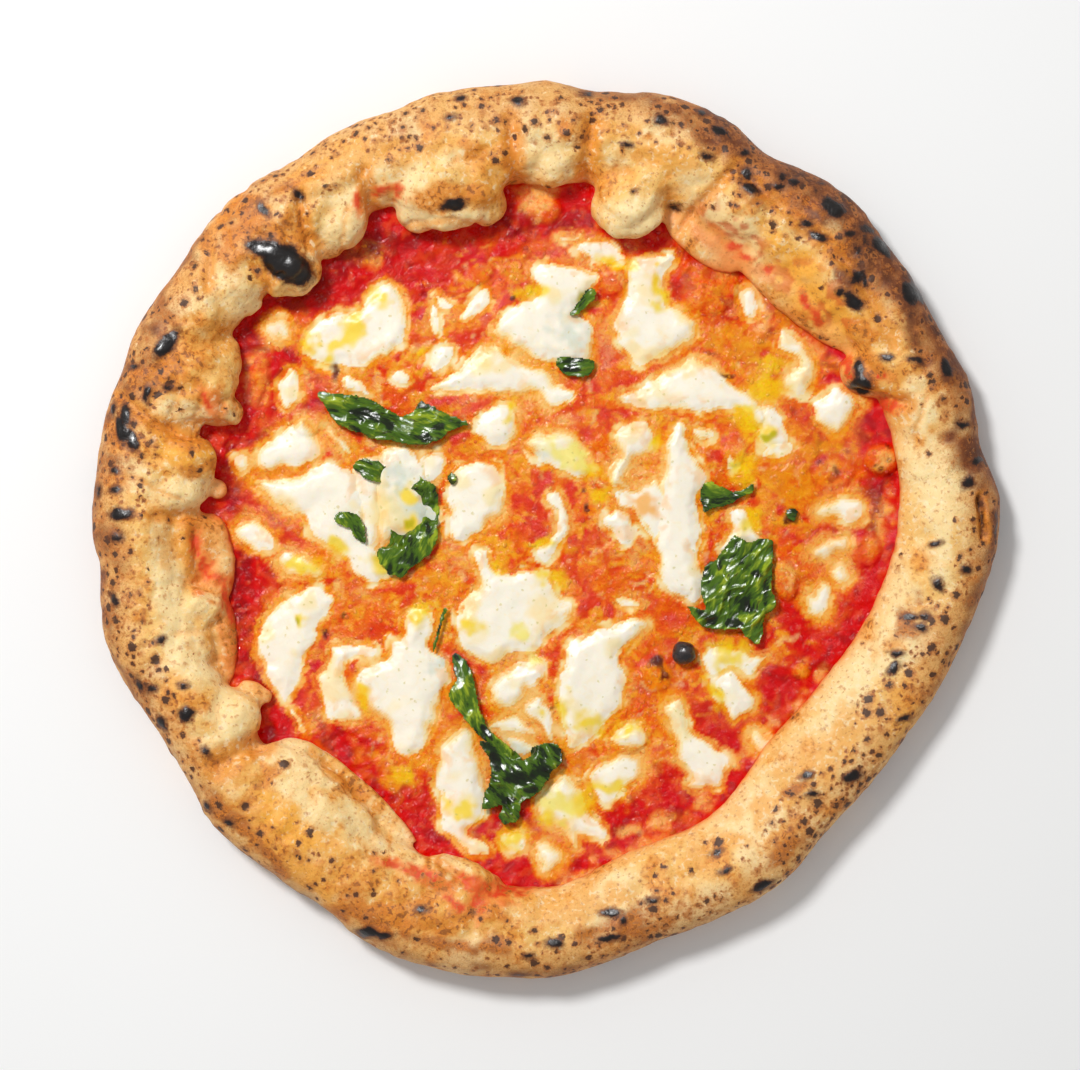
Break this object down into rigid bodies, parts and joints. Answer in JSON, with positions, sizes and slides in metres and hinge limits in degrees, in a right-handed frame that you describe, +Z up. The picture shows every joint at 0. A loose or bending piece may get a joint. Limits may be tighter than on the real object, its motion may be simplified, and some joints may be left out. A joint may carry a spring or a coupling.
{
  "type": "margherita pizza",
  "caption": "Whole round wood-oven style pizza with a puffed, leopard-spotted rim, tomato sauce, torn melted mozzarella and basil leaves; flat underside.",
  "frame": {"origin": "on the flat underside, at the middle of the round's outline", "axes": "+Z up out of the toppings, +X to the right and +Y away from the viewer when it is looked down on"},
  "size_m": [0.3175, 0.3158, 0.0267],
  "materials": {
    "crust": "baked dough, dry and matt, floury underneath, gold to brown with dark blisters",
    "sauce": "wet crushed tomato, glossy and grainy, orange where oil has run in",
    "cheese": "melted fresh cheese, soft satin with oily yellow pools",
    "leaf": "wilted green leaf with oil on it, dark at the folds",
    "char": "charred sauce bubble, smooth and shiny dark grey"
  },
  "bodies": {
    "root": {"dough": "crust", "tomato_sauce": "sauce", "mozzarella_01": "cheese", "mozzarella_02": "cheese", "mozzarella_03": "cheese", "mozzarella_04": "cheese", "mozzarella_05": "cheese", "mozzarella_06": "cheese", "mozzarella_07": "cheese", "mozzarella_08": "cheese", "mozzarella_09": "cheese", "mozzarella_10": "cheese", "mozzarella_11": "cheese", "mozzarella_12": "cheese", "mozzarella_13": "cheese", "mozzarella_14": "cheese", "mozzarella_15": "cheese", "mozzarella_16": "cheese", "mozzarella_17": "cheese", "mozzarella_18": "cheese", "mozzarella_19": "cheese", "mozzarella_20": "cheese", "mozzarella_21": "cheese", "mozzarella_22": "cheese", "mozzarella_23": "cheese", "mozzarella_24": "cheese", "mozzarella_25": "cheese", "mozzarella_26": "cheese", "mozzarella_27": "cheese", "mozzarella_28": "cheese", "mozzarella_29": "cheese", "mozzarella_30": "cheese", "mozzarella_31": "cheese", "mozzarella_32": "cheese", "mozzarella_33": "cheese", "mozzarella_34": "cheese", "mozzarella_35": "cheese", "mozzarella_36": "cheese", "mozzarella_37": "cheese", "mozzarella_38": "cheese", "mozzarella_39": "cheese", "mozzarella_40": "cheese", "mozzarella_41": "cheese", "mozzarella_42": "cheese", "mozzarella_43": "cheese", "mozzarella_44": "cheese", "mozzarella_45": "cheese", "basil_01": "leaf", "basil_02": "leaf", "basil_03": "leaf", "basil_04": "leaf", "basil_05": "leaf", "basil_06": "leaf", "basil_07": "leaf", "basil_08": "leaf", "basil_09": "leaf", "basil_10": "leaf", "charred_bead": "char"}
  },
  "joints": []
}
